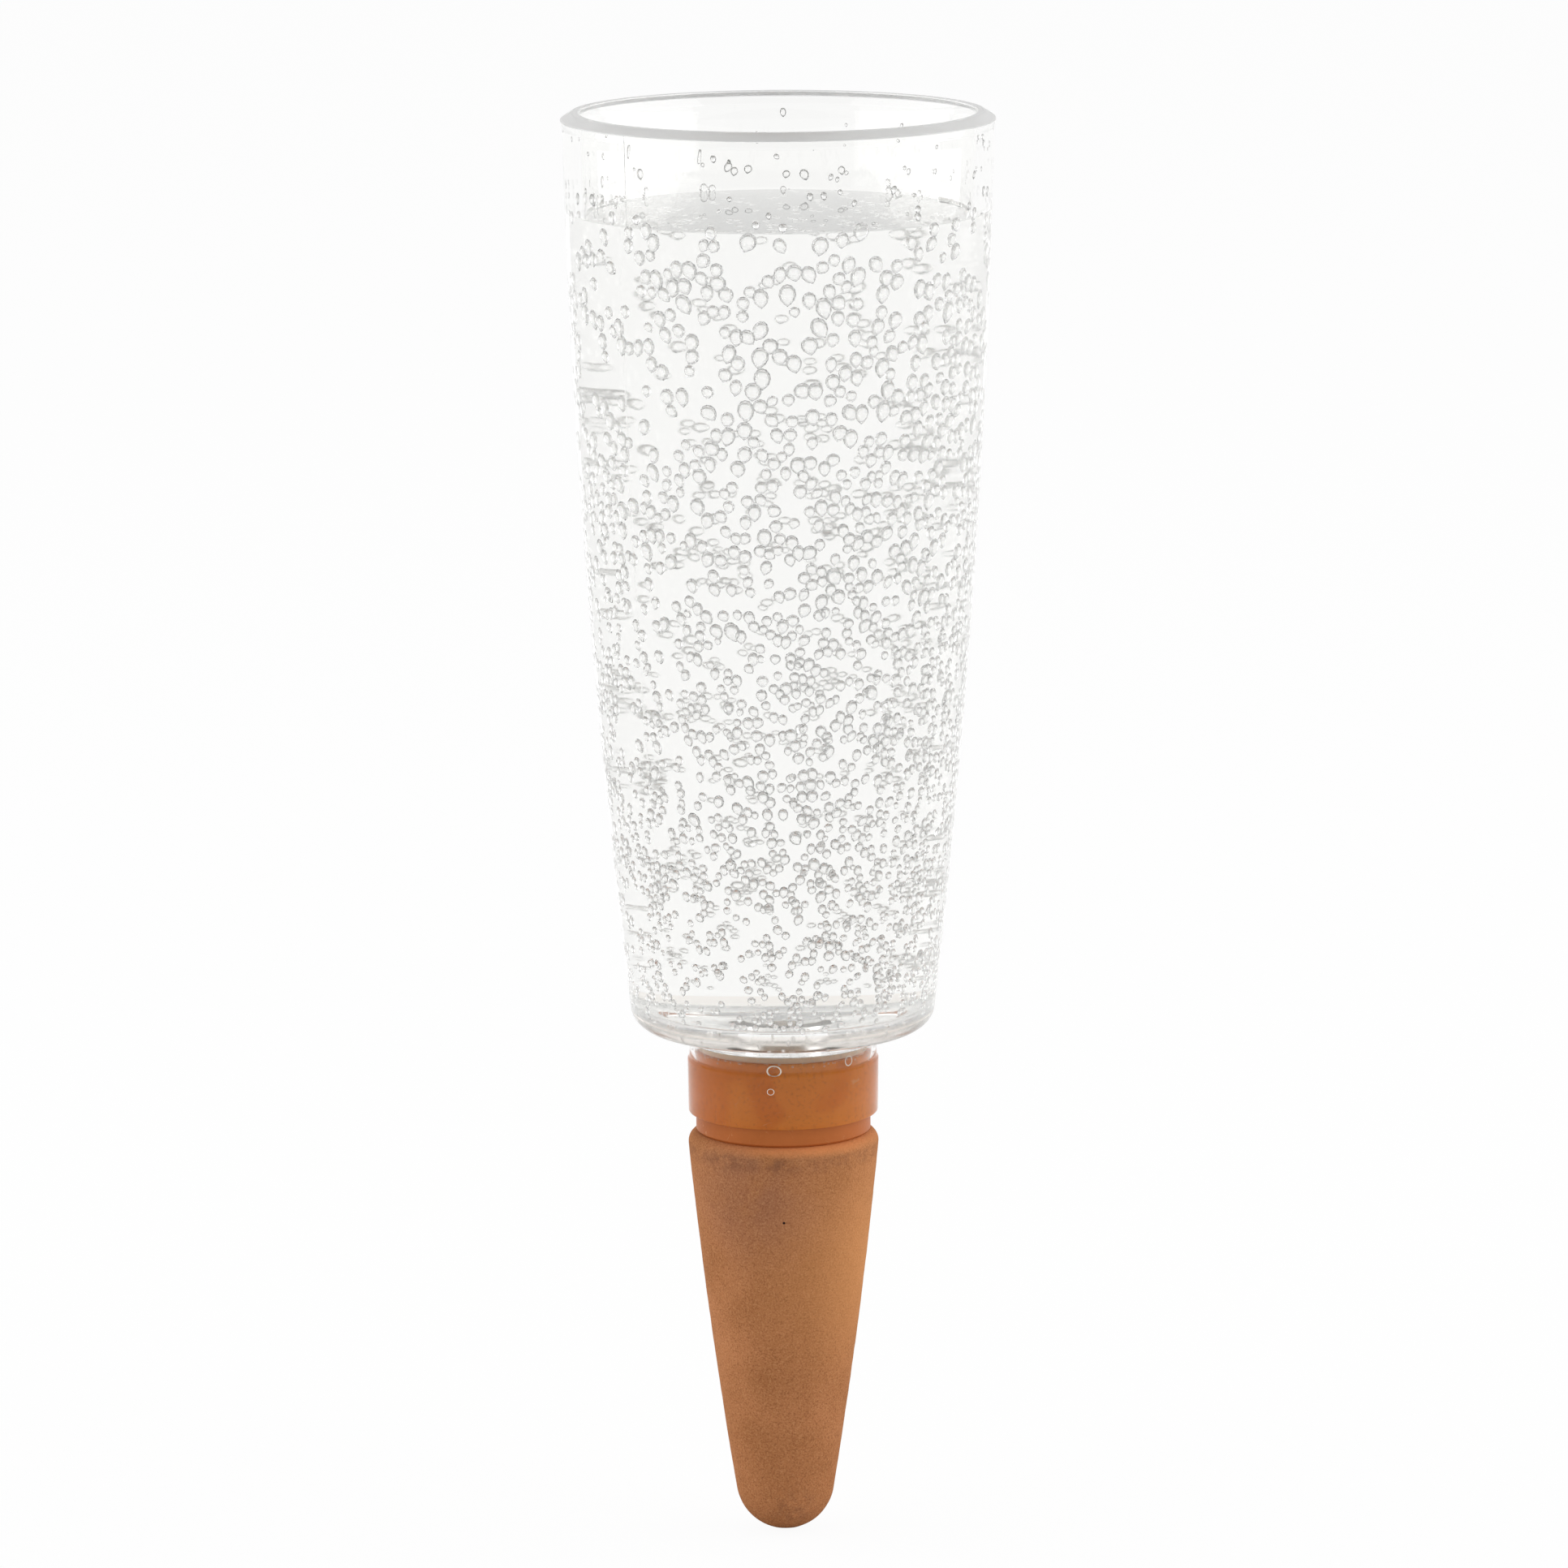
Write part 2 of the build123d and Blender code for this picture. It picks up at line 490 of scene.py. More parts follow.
def clear_plastic(name, tint, ior, rough=0.0, shine=1.0, milk=0.0, handled=False):
    """Clear plastic or water. Milk makes it matt, and a handled skin has faint haze and the parting line."""
    material, shade = new_material(name)
    sockets = {
        "Base Color": rgba(tint),
        "Roughness": rough,
        "IOR": ior,
        "Transmission Weight": 1.0,
        "Specular Tint": (shine, shine, shine, 1.0),
    }
    if handled:
        place = shade.place()
        haze = shade.step(shade.grain(place, 0.016, 3.0), 0.5, 0.75)
        sockets["Roughness"] = haze * 0.012
        sockets["Normal"] = parting_line(shade, place)
    body = shade.surface(sockets)
    if milk:
        behind = shade.value("ShaderNodeBsdfTranslucent", sockets={"Color": WHITE})
        before = shade.value("ShaderNodeBsdfDiffuse", sockets={"Color": WHITE})
        body = shade.mix(milk, body, shade.mix(0.5, behind, before))
    shade.output(body)
    return material


def parting_line(shade, place):
    """The fine ridge that the mould leaves down one side of the cup, as a normal."""
    turn = math.radians(PARTING_ANGLE)
    across = (-math.sin(turn), math.cos(turn), 0.0)
    off = shade.value(
        "ShaderNodeVectorMath",
        {"operation": "DOT_PRODUCT"},
        {0: place, 1: across},
        output="Value",
    )
    ridge = 1 - shade.step(shade.math("ABSOLUTE", off, 0.0), 0.00005, 0.00025)
    here = 1 - shade.step(shade.axis(place, "X"), -0.001, 0.001)
    return shade.bump(ridge * here, 0.00003)


def painted_light_plastic(name, tint):
    """Milky, matt plastic in a pale tint: painted light, a pale skin that stands in for light that the clear
    parts would bring there.
    """
    material, shade = new_material(name)
    cloud = shade.grain(shade.place(), 0.0012, 2.0)
    shade.output(
        shade.surface(
            {
                "Base Color": shade.blend(cloud, rgba([c * 0.9 for c in tint]), rgba(tint)),
                "Roughness": 0.6,
                "IOR": PLASTIC_IOR,
                "Transmission Weight": 0.25,
            }
        )
    )
    return material


def bubble_skin(name, outline, ring, ior=1 / PLASTIC_IOR, start=0.05, fade=0.85):
    """The skin of an air bubble in the plastic: a small lens with a soft ring where it turns away. The ring
    is painted in the outline colour: painted shade where it is grey, painted highlight where it is pale.
    """
    material, shade = new_material(name)
    facing = shade.value("ShaderNodeLayerWeight", sockets={"Blend": 0.5}, output="Facing")
    lens = shade.value("ShaderNodeBsdfGlass", sockets={"Color": WHITE, "Roughness": 0.05, "IOR": ior})
    edge = shade.surface({"Base Color": rgba(outline), "Roughness": 0.5, "Specular IOR Level": 0.0})
    # Painted shade or highlight: an opaque surface in the outline colour, mixed in where the skin turns away
    rim = shade.step(facing, start, start + 0.35) * (1 - shade.step(facing, start + 0.65, 1.0) * fade)
    shade.output(shade.mix(rim * ring, lens, edge))
    return material


def bubble_edge_painted_highlight(colour):
    """The pale ring of a bubble that lies open in the skin: an opaque painted highlight, standing in for the
    bright rim of the bubble.
    """
    material, shade = new_material("bubble_edge_painted_highlight")
    shade.output(shade.surface({"Base Color": rgba(colour), "Roughness": 0.35}))
    return material


def orange_plastic(colour):
    """Half gloss orange plastic with patches where it is wet, and fine pale scratches. Above the sleeve's
    end it is painted much brighter, as painted light for the light that the clear sleeve holds back, and in
    its bore it is painted pale cream, also as painted light.
    """
    material, shade = new_material("orange_plastic")
    place = shade.place()
    cloud = shade.grain(place, 0.011, 3.0, 0.6)
    fleck = shade.grain(place, 0.0007, 2.0)
    patch = shade.step(shade.grain(place, 0.019, 1.0, 0.4, 0.6), 0.46, 0.54)
    curl = shade.grain(place, 0.0052, 1.0, 0.4, 1.8) - 0.5
    thin = 1 - shade.step(shade.math("ABSOLUTE", curl, 0.0), 0.001, 0.006)
    rare = shade.step(shade.grain(place, 0.0038, 1.0), 0.52, 0.62)
    scratch = thin * rare
    deep = rgba([c * 0.86 for c in colour])
    light = rgba([min(1.0, c * 1.22 + 0.012) for c in colour])
    body = shade.blend(cloud, deep, light)
    body = shade.blend(patch * 0.35, body, light)
    # Painted light: above the sleeve's end the orange turns to far brighter wet tones, standing in for light
    # lost through the sleeve
    covered = shade.step(shade.axis(place, "Z"), 0.0037, 0.0041)
    wet = shade.blend(cloud * 0.6 + patch * 0.4, PAINTED_LIGHT_WET_ORANGE_DEEP, PAINTED_LIGHT_WET_ORANGE_LIGHT)
    body = shade.blend(covered * 0.85, body, wet)
    body = shade.blend(shade.step(fleck, 0.52, 0.72) * 0.3, body, light)
    body = shade.blend(scratch * 0.35, body, SCRATCHED_ORANGE)
    # Painted light: the bore and the thread are painted pale cream, so that the tube seen through the cup's
    # floor is not dark
    bore_painted_light = 1 - shade.step(shade.reach(place), 0.0094, 0.0102)
    body = shade.blend(bore_painted_light * 0.85, body, BORE_PAINTED_LIGHT)
    shade.output(
        shade.surface(
            {
                "Base Color": body,
                "Roughness": 0.34 + fleck * 0.12 + scratch * 0.2,
                "Specular IOR Level": 0.15,
                "Normal": shade.bump(fleck + scratch, 0.00004, 0.6),
            }
        )
    )
    return material


def fired_clay(colour):
    """Unglazed fired clay: sandy grain, pores, a greyer dry top and dark smudges, with painted light on its
    right side and along its crest.
    """
    material, shade = new_material("fired_clay")
    place = shade.place()
    height = shade.axis(place, "Z")
    sand = shade.grain(place, 0.00034, 3.0, 0.6)
    fine = shade.grain(place, 0.0002, 2.0, 0.6)
    blotch = shade.grain(place, 0.013, 4.0, 0.6)
    cloud = shade.grain(place, 0.034, 2.0)
    deep = rgba([c * 0.8 for c in colour])
    pale = rgba([min(1.0, c * 1.12 + 0.02) for c in colour])
    body = shade.blend(shade.step(blotch * 0.6 + cloud * 0.4, 0.25, 0.75), deep, pale)
    dry = shade.near(place, *DRY_PATCH) * shade.step(blotch, 0.25, 0.6)
    body = shade.blend(dry * 0.95, body, DRY_CLAY)
    body = shade.blend(shade.step(sand, 0.5, 0.7) * 0.3, body, PALE_SAND)
    body = shade.blend(shade.step(1 - sand, 0.5, 0.68) * 0.52, body, DARK_PORE)
    patchy = shade.grain(place, 0.0026, 4.0, 0.75)
    # Painted light: the right side is painted lighter, as if lit
    sunny = shade.near(place, *SUNNY_SIDE)
    body = shade.blend(sunny * 0.5, body, SUNNY_CLAY)
    # Painted light: the crest is painted lighter, where light from above falls on it
    crest = shade.step(height + patchy * 0.0014, -0.0016, 0.0004) * shade.near(place, *PAINTED_LIGHT_CREST)
    body = shade.blend(crest * 0.75, body, PAINTED_LIGHT_CLAY)
    # A darker band just below the crest, and dark smudges
    wrinkle = shade.step(height, -0.0056, -0.0036) * (1 - shade.step(height, -0.0026, -0.0014))
    smudge = wrinkle * 0.6 + shade.near(place, *LEFT_SMUDGE) * 0.8
    smudge = smudge + shade.near(place, *MIDDLE_SMUDGE) * 0.6
    smudge = smudge + shade.near(place, *TIP_SMUDGE) * 0.8
    dark_marks = smudge * shade.step(patchy, 0.36, 0.62)
    body = shade.blend(dark_marks * 0.5, body, DARK_SMUDGE)
    speck = shade.near(place, *SPECK)
    body = shade.blend(shade.step(speck, 0.3, 0.5), body, BLACK_SPECK)
    shade.output(
        shade.surface(
            {
                "Base Color": body,
                "Roughness": 0.86 + fine * 0.12,
                "Specular IOR Level": 0.1,
                "Normal": shade.bump(sand * 0.7 + fine * 0.3, 0.00022, 0.8),
            }
        )
    )
    return material


def soft_seal(colour):
    """Soft translucent seal rubber."""
    material, shade = new_material("seal_rubber")
    cloud = shade.grain(shade.place(), 0.0022, 3.0, 0.6)
    body = shade.blend(cloud, rgba([c * 0.82 for c in colour]), rgba(colour))
    shade.output(shade.surface({"Base Color": body, "Roughness": 0.42 + cloud * 0.14}))
    return material


def set_cement(colour):
    """Set cement, grainy and matt."""
    material, shade = new_material("set_cement")
    grit = shade.grain(shade.place(), 0.0006, 3.0, 0.6)
    body = shade.blend(grit, rgba([c * 0.7 for c in colour]), rgba(colour))
    shade.output(
        shade.surface({"Base Color": body, "Roughness": 0.9, "Normal": shade.bump(grit, 0.0001)})
    )
    return material


class SpikeLooks(bpy.types.PropertyGroup):
    """Sizes and colours of the spike that a user would change."""

    water_depth: bpy.props.FloatProperty(
        name="Water below rim",
        description="How far the water stands below the rim",
        default=0.0195,
        min=0.005,
        unit="LENGTH",
    )
    bubble_count: bpy.props.IntProperty(
        name="Wall bubbles",
        description="Air bubbles in the cup's wall below the water line",
        default=4600,
        min=0,
    )
    bubble_scale: bpy.props.FloatProperty(
        name="Bubble scale",
        description="Size of the air bubbles, one as moulded",
        default=1.0,
        subtype="FACTOR",
    )
    plastic_tint: bpy.props.FloatVectorProperty(
        name="Clear plastic",
        description="Tint of the clear cup",
        default=(0.985, 0.985, 0.976),
        subtype="COLOR",
    )
    # Painted shade: the grey of a bubble's ring, standing in for the darker surroundings that the edge of a
    # bubble reflects
    outline: bpy.props.FloatVectorProperty(
        name="Bubble edge",
        description="Shade of a bubble's skin where it is seen edge on",
        default=(0.4, 0.41, 0.38),
        subtype="COLOR",
    )
    orange: bpy.props.FloatVectorProperty(
        name="Adapter",
        description="Orange of the adapter",
        default=(0.38, 0.103, 0.018),
        subtype="COLOR",
    )
    clay: bpy.props.FloatVectorProperty(
        name="Clay",
        description="Colour of the fired clay",
        default=(0.43, 0.17, 0.062),
        subtype="COLOR",
    )
    seal: bpy.props.FloatVectorProperty(
        name="Seal",
        description="Colour of the seal washer",
        default=(0.95, 0.68, 0.45),
        subtype="COLOR",
    )
    cement: bpy.props.FloatVectorProperty(
        name="Cement",
        description="Colour of the cement round the adapter's spigot",
        default=(0.6, 0.54, 0.44),
        subtype="COLOR",
    )


class SpikeStudio(bpy.types.PropertyGroup):
    """Light, floor and camera."""

    lamp_power: bpy.props.FloatProperty(
        name="Lamp",
        description="Power of the soft lamp at the left",
        default=16.0,
        unit="POWER",
    )
    overhead: bpy.props.FloatProperty(
        name="Overhead grey",
        description="Brightness of the studio above the lit walls",
        default=0.76,
        subtype="FACTOR",
    )
    front: bpy.props.FloatProperty(
        name="Front grey",
        description="Brightness of the studio behind the camera",
        default=0.55,
        subtype="FACTOR",
    )
    floor: bpy.props.FloatVectorProperty(
        name="Floor",
        description="Colour of the floor",
        default=(0.88, 0.88, 0.88),
        subtype="COLOR",
    )
    lens: bpy.props.FloatProperty(
        name="Lens",
        description="Focal length of the camera in millimetres",
        default=184.5,
        subtype="DISTANCE_CAMERA",
    )


# Bubble shapes as half outlines of one across: radius and height from the top down
DROP = ((0.0, 0.5), (0.26, 0.43), (0.45, 0.22), (0.5, -0.04), (0.4, -0.29), (0.2, -0.49), (0.0, -0.6))
BEAD = ((0.0, 0.5), (0.31, 0.39), (0.49, 0.08), (0.43, -0.25), (0.22, -0.46), (0.0, -0.56))
RING = ((0.44, 0.0), (0.5, 0.06), (0.56, 0.0), (0.5, -0.06), (0.44, 0.0))
DROP_SIDES = 10
BEAD_SIDES = 8
RING_SIDES = 24
RING_DEPTH = 1.4

# Where one piece of bubbles ends and the next begins, in millimetres
UPPER_BUBBLES_Z = 125.0
LOWER_BUBBLES_Z = 75.0
DRY_ABOVE_WATER = 2.0

# Along the height of the wall in millimetres: bubbles per square millimetre, and their width
BUBBLE_BANDS = (
    (26.0, 0.09, 1.25),
    (36.0, 0.125, 1.5),
    (60.0, 0.13, 1.8),
    (90.0, 0.125, 1.95),
    (125.0, 0.1, 2.4),
    (150.0, 0.075, 2.75),
    (172.0, 0.064, 2.85),
    (184.0, 0.05, 2.7),
)
MOST_BUBBLES = 0.13

# How the wall's bubbles are scattered: they crowd at one side, and are fewer and smaller at the back
BUBBLE_SEED = 7
DENSE_ANGLE = -0.55
DENSE_TOP_Z = 165.0
DENSE_FADE = 30.0
SPARSE_SHARE = 0.45
BACK_FEWER = 0.35
BACK_SMALLER = 0.42
CLUSTERED = 0.5
WIDEST_BUBBLE = 3.3
THICKEST_BUBBLE = 1.7
SKIN_OVER_BUBBLE = 0.25

# Two bubbles touch where the square of their distance, in sums of half sizes, is less than this
TOUCH = 0.6

# Lone bubbles at and above the water line: count, then ranges of height, width and depth in the wall
LONE_BUBBLES = (
    (28, (183.5, 189.0), (1.3, 2.2), (1.3, 2.2)),
    (60, (187.0, 199.5), (0.6, 1.3), (1.2, 2.4)),
)

# Small bubbles in the floor and in the neck's root: count and ranges in millimetres
BASE_BUBBLES = 150
BASE_BUBBLE_WIDTHS = (0.45, 1.0)
BASE_BUBBLE_INNER = 9.0
BASE_BUBBLE_OUTER = 27.5
BASE_BUBBLE_SKIN = 0.9
NECK_BUBBLES = 260
NECK_BUBBLE_WIDTHS = (0.2, 0.38)
NECK_BUBBLE_DEPTHS = (0.3, 0.8)
NECK_BUBBLE_HEIGHTS = (NECK_FOOT_Z + 1.2, CEILING_Z + 0.9)

# Bubbles in the sleeve over the adapter: angle from the right, height, width and length
SLEEVE_BUBBLES = (
    (-95.5, 15.8, 2.7, 2.1),
    (-97.5, 11.7, 1.35, 1.2),
    (-46.0, 16.7, 1.8, 1.9),
)

Bubble = namedtuple("Bubble", "angle height depth width length thickness lean tilt")


def along(bands, height, column):
    """A value between the rows of a table, by height."""
    for low, high in zip(bands, bands[1:]):
        if height <= high[0]:
            share = max(0.0, (height - low[0]) / (high[0] - low[0]))
            return low[column] + (high[column] - low[column]) * share
    return bands[-1][column]


class Bubbles:
    """Air bubbles in the wall, kept from running into each other."""

    CELL = 4.0

    def __init__(self, seed):
        self.random = random.Random(seed)
        self.placed = []
        self.cells = {}

    def clear_of_others(self, spot, half):
        """Whether a bubble at a place on the unrolled wall touches none that is there."""
        column, row = (int(spot[i] // self.CELL) for i in (0, 1))
        for i in range(column - 1, column + 2):
            for j in range(row - 1, row + 2):
                for other, other_half in self.cells.get((i, j), ()):
                    gaps = [(spot[k] - other[k]) / (half[k] + other_half[k]) for k in range(3)]
                    if sum(g * g for g in gaps) < TOUCH:
                        return False
        return True

    def add(self, bubble):
        """Places a bubble if there is room."""
        radius = outer_wall(max(bubble.height, BASE_Z))[0]
        spot = (bubble.angle * radius, bubble.height, bubble.depth)
        half = (bubble.width * 0.5, bubble.length * 0.58, bubble.thickness * 0.5)
        if self.clear_of_others(spot, half):
            cell = (int(spot[0] // self.CELL), int(spot[1] // self.CELL))
            self.cells.setdefault(cell, []).append((spot, half))
            self.placed.append(bubble)

    def scatter(self, count, scale):
        """Fills the wetted wall, half of the bubbles in clusters."""
        rnd = self.random
        low, high = BUBBLE_BANDS[0][0], BUBBLE_BANDS[-1][0]
        tries = 0
        while len(self.placed) < count and tries < count * 40:
            tries += 1
            height = rnd.uniform(low, high)
            angle = rnd.uniform(-math.pi, math.pi)
            back = max(0.0, math.sin(angle))
            dense = max(0.0, math.cos(angle - DENSE_ANGLE)) ** 2
            dense *= min(1.0, max(0.0, (DENSE_TOP_Z - height) / DENSE_FADE))
            share = along(BUBBLE_BANDS, height, 1) / MOST_BUBBLES * (1 - BACK_FEWER * back)
            share *= SPARSE_SHARE + (1 - SPARSE_SHARE) * dense
            if rnd.random() > share * outer_wall(height)[0] / CUP_TOP_RADIUS:
                continue
            if self.placed and rnd.random() < CLUSTERED:
                parent = rnd.choice(self.placed)
                turn = rnd.uniform(0, 2 * math.pi)
                step = parent.width * rnd.uniform(0.75, 1.15)
                height = parent.height + step * math.sin(turn) * 1.15
                angle = parent.angle + step * math.cos(turn) / outer_wall(parent.height)[0]
                if not low < height < high:
                    continue
            width = along(BUBBLE_BANDS, height, 2) * scale * rnd.lognormvariate(0.0, 0.13)
            width = min(width * (1 - BACK_SMALLER * max(0.0, math.sin(angle))), WIDEST_BUBBLE)
            thickness = min(width * rnd.uniform(0.55, 0.75), THICKEST_BUBBLE)
            room = SKIN_OVER_BUBBLE + thickness / 2 + 0.12 * width
            bubble = Bubble(
                angle=angle,
                height=height,
                depth=rnd.uniform(room, CUP_WALL - room),
                width=width,
                length=width * rnd.uniform(0.92, 1.3),
                thickness=thickness,
                lean=rnd.gauss(0.0, 0.3),
                tilt=rnd.uniform(0.05, 0.3),
            )
            self.add(bubble)

    def sprinkle(self, count, heights, widths, depths, scale):
        """Adds lone small bubbles between two heights."""
        rnd = self.random
        goal = len(self.placed) + count
        for _ in range(count * 10):
            if len(self.placed) >= goal:
                return
            width = rnd.uniform(*widths) * scale
            bubble = Bubble(
                angle=rnd.uniform(-math.pi, math.pi),
                height=rnd.uniform(*heights),
                depth=rnd.uniform(*depths),
                width=width,
                length=width * rnd.uniform(0.95, 1.4),
                thickness=width * 0.7,
                lean=rnd.gauss(0.0, 0.35),
                tilt=0.0,
            )
            self.add(bubble)


def bubble_template(outline, segments):
    """One bubble, one across."""
    bm = bmesh.new()
    chain = Section(bm, *outline[0])
    for point in outline[1:]:
        chain.line(*point)
    chain.spin(segments)
    for face in bm.faces:
        face.smooth = True
    return bm


def set_in(bm, template, matrix):
    """Adds a copy of a small shape to a larger one."""
    shape = template.copy()
    bmesh.ops.transform(shape, matrix=matrix, verts=shape.verts)
    mesh = bpy.data.meshes.new("shape")
    shape.to_mesh(mesh)
    shape.free()
    bm.from_mesh(mesh)
    bpy.data.meshes.remove(mesh)


def wall_frame(angle, height, depth, wall):
    """Place in a wall: X along the wall, Y outwards and Z up along it."""
    radius, slope = wall(height)
    up = Vector((slope, 0, 1)).normalized()
    out = Vector((up.z, 0, -up.x))
    spot = Vector((radius, 0, height)) - out * depth
    basis = Matrix((Vector((0, 1, 0)), out, up)).transposed().to_4x4()
    return Matrix.Rotation(angle, 4, "Z") @ Matrix.Translation(spot) @ basis


def neck_wall(height):
    """Radius and slope of the neck and its sleeve."""
    return (NECK_RADIUS, 0.0) if height > NECK_FOOT_Z else (SLEEVE_RADIUS, 0.0)


class SPIKE_OT_reservoir(bpy.types.Operator):
    """Builds the clear cup with its rim, neck, sleeve and outlet nose"""

    bl_idname = "spike.reservoir"
    bl_label = "Reservoir"

    def execute(self, context):
        looks = context.scene.spike_looks
        bm = bmesh.new()
        section = Section(bm, RIM_FLAT_RADIUS, RIM_Z)
        section.corner(*RIM_FLAT_EDGE)
        section.line(BEAD_RADIUS, BEAD_EDGE_Z, *BEAD_EDGE)
        section.line(CUP_TOP_RADIUS, BEAD_UNDERSIDE_Z, *BEAD_ROOT)
        section.bow(CUP_BASE_RADIUS, BASE_Z, CUP_BOW, OUTER_WALL_STEPS, *BASE_EDGE)
        section.line(NECK_RADIUS, BASE_Z, *SOFT_EDGE)
        section.line(NECK_RADIUS, NECK_FOOT_Z, *CRISP_EDGE)
        section.line(SLEEVE_RADIUS, SLEEVE_TOP_Z, *CRISP_EDGE)
        section.line(SLEEVE_FOOT_RADIUS, SLEEVE_END_Z, *SLEEVE_END_EDGE)
        section.line(SLEEVE_BORE, SLEEVE_END_Z, *CRISP_EDGE)
        section.line(SLEEVE_BORE, NECK_FOOT_Z)
        section.line(SLEEVE_BORE, CEILING_Z, *SOFT_EDGE)
        section.line(NOSE_RADIUS, CEILING_Z, *NOSE_ROOT)
        section.line(NOSE_RADIUS, NOSE_END_Z + NOSE_EDGE)
        section.line(NOSE_RADIUS - NOSE_EDGE, NOSE_END_Z)
        section.line(OUTLET_RADIUS, NOSE_END_Z, *CRISP_EDGE)
        section.line(OUTLET_RADIUS, FLOOR_Z, *SOFT_EDGE)
        section.line(CUP_BASE_RADIUS - CUP_WALL, FLOOR_Z, *FLOOR_EDGE)
        section.bow(CUP_TOP_RADIUS - CUP_WALL, RIM_Z, -CUP_BOW, INNER_WALL_STEPS, *RIM_INNER_EDGE)
        section.close()
        section.spin()
        level = RIM_Z - looks.water_depth / MM + MENISCUS_RISE
        bmesh.ops.bisect_plane(
            bm,
            geom=bm.verts[:] + bm.edges[:] + bm.faces[:],
            dist=1e-5,
            plane_co=(0, 0, level),
            plane_no=(0, 0, 1),
        )
        for face in bm.faces:
            face.material_index = self.finish_of(face, level)
        sharpen(bm)
        tint = looks.plastic_tint
        finish_piece(
            bm,
            "reservoir_cup",
            [
                clear_plastic("clear_plastic", tint, PLASTIC_IOR, handled=True),
                clear_plastic("clear_plastic_wet", tint, PLASTIC_IOR / WATER_IOR, rough=0.1),
                clear_plastic("clear_sleeve", CLEAR, PLASTIC_IOR, shine=0.42),
                clear_plastic("clear_rim", CLEAR, PLASTIC_IOR, rough=0.26, milk=0.5),
                clear_plastic("clear_bore", CLEAR, NO_BEND),
                # Painted shade and painted reflection: the base's darker, warmer tint stands in for shade
                # and orange light seen through it
                clear_plastic("clear_base", BASE_PAINTED_WARM_SHADE, PLASTIC_IOR, rough=0.16),
                # Painted light: the nose's outer wall is a pale matt skin, standing in for light reflected
                # inside the clear plastic
                painted_light_plastic("frosted_nose_painted_light", NOSE_PAINTED_LIGHT),
            ],
            "reservoir",
            "reservoir",
        )
        return {"FINISHED"}

    def finish_of(self, face, level):
        """Material slot of a face, by where it is and which way it looks."""
        centre = face.calc_center_median()
        radius = math.hypot(centre.x, centre.y)
        outwards = (face.normal.x * centre.x + face.normal.y * centre.y) / radius
        if centre.z > BEAD_EDGE_Z - 0.2 and radius > CUP_TOP_RADIUS - CUP_WALL + 1.0:
            return RIM
        if centre.z > level:
            return DRY
        if radius < OUTLET_RADIUS + 0.5:
            return WET if centre.z > WATER_END_Z else DRY
        if centre.z > FLOOR_Z - 0.1 and (outwards < -0.3 or face.normal.z > 0.3):
            return WET
        if abs(radius - NOSE_RADIUS) < 0.2 and centre.z < CEILING_Z:
            return NOSE
        if CEILING_Z + 0.1 < centre.z < BASE_Z + BASE_EDGE_RADIUS - 0.6:
            return BASE
        if centre.z > CEILING_Z + 0.1 or radius < NOSE_RADIUS + 1.0:
            return DRY
        inside = abs(radius - SLEEVE_BORE) < 0.1 and outwards < -0.9
        return BORE if inside and centre.z < NECK_FOOT_Z else SLEEVE


